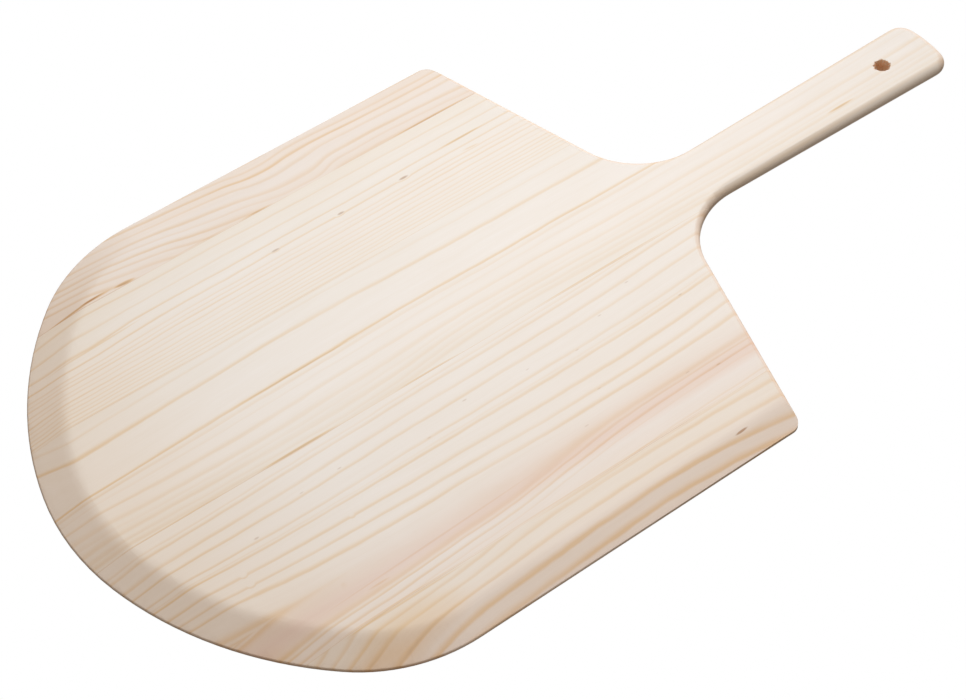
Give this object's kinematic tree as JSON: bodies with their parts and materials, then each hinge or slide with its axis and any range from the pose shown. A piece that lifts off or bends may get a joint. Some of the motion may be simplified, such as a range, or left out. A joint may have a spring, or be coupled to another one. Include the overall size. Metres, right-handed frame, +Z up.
{
  "type": "wooden pizza peel",
  "caption": "Flat wooden pizza peel: a wide blade with a curved nose and bevelled edges, sloped shoulders and a short rounded handle with a hanging hole.",
  "frame": {"origin": "middle of the bounding box's bottom face, on the flat underside of the blade", "axes": "+Y along the handle, from the nose to the handle's end; +Z up, out of the top face; +X to the right"},
  "size_m": [0.3556, 0.6096, 0.0095],
  "materials": {
    "wood_far_left": "sanded, unfinished softwood",
    "wood_left": "sanded, unfinished softwood",
    "wood_handle": "sanded, unfinished softwood",
    "wood_right": "sanded, unfinished softwood",
    "wood_far_right": "sanded, unfinished softwood",
    "wood_glue": "cured wood glue"
  },
  "bodies": {
    "root": {"stave_far_left": "wood_far_left", "stave_left": "wood_left", "stave_handle": "wood_handle", "stave_right": "wood_right", "stave_far_right": "wood_far_right", "glue_line_far_left": "wood_glue", "glue_line_left": "wood_glue", "glue_line_right": "wood_glue", "glue_line_far_right": "wood_glue"}
  },
  "joints": []
}
